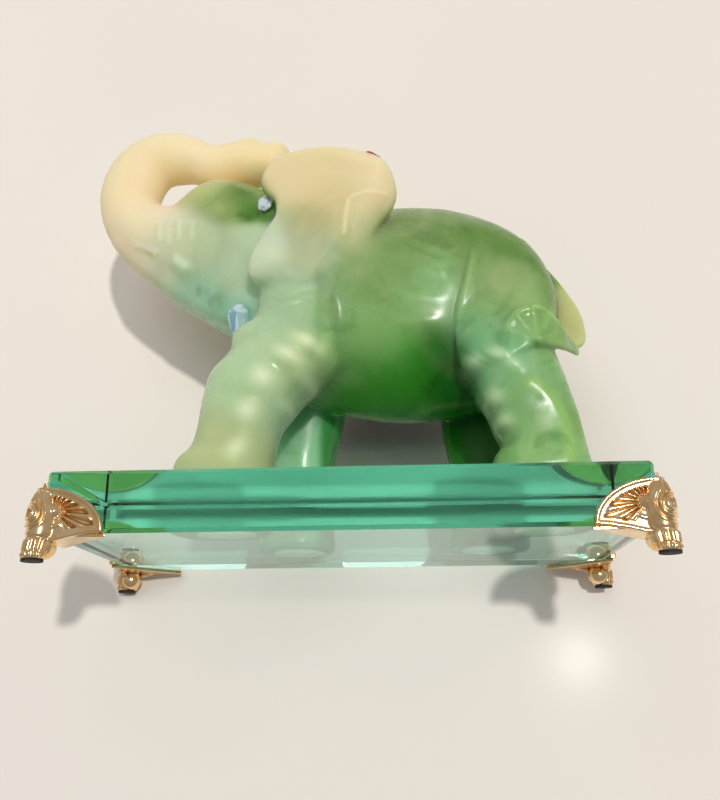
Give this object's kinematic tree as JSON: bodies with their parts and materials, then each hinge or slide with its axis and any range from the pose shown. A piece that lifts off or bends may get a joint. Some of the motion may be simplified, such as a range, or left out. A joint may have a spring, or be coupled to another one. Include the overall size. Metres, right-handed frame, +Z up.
{
  "type": "jade figurine",
  "caption": "Jade-look elephant with a raised trunk, standing on a thick green glass slab held at its corners by gilt fan-shaped feet.",
  "frame": {"origin": "centre of the outer box, on the plane under the four foot pads", "axes": "+Z up, +X from the trunk towards the tail along the slab, +Y from the elephant's left side to its right side"},
  "size_m": [0.1939, 0.0956, 0.1733],
  "materials": {
    "plinth_glass": "polished",
    "jade": "polished",
    "gilt": "polished",
    "pad": "matte",
    "glue": "gloss",
    "clear_crystal": "polished",
    "red_gem": "polished",
    "aqua_crystal": "polished"
  },
  "bodies": {
    "root": {"glass_plinth": "plinth_glass", "jade_elephant": "jade", "corner_foot_front_left": "gilt", "corner_foot_front_right": "gilt", "corner_foot_rear_left": "gilt", "corner_foot_rear_right": "gilt", "foot_pad_front_left": "pad", "foot_pad_front_right": "pad", "foot_pad_rear_left": "pad", "foot_pad_rear_right": "pad", "glue_film_front_left": "glue", "glue_film_front_right": "glue", "glue_film_rear_left": "glue", "glue_film_rear_right": "glue", "sole_glue_front_left": "glue", "sole_glue_front_right": "glue", "sole_glue_hind_left": "glue", "sole_glue_hind_right": "glue", "eye_left": "clear_crystal", "eye_right": "clear_crystal", "ear_gem_left": "red_gem", "ear_gem_right": "red_gem", "throat_crystal": "aqua_crystal"}
  },
  "joints": []
}
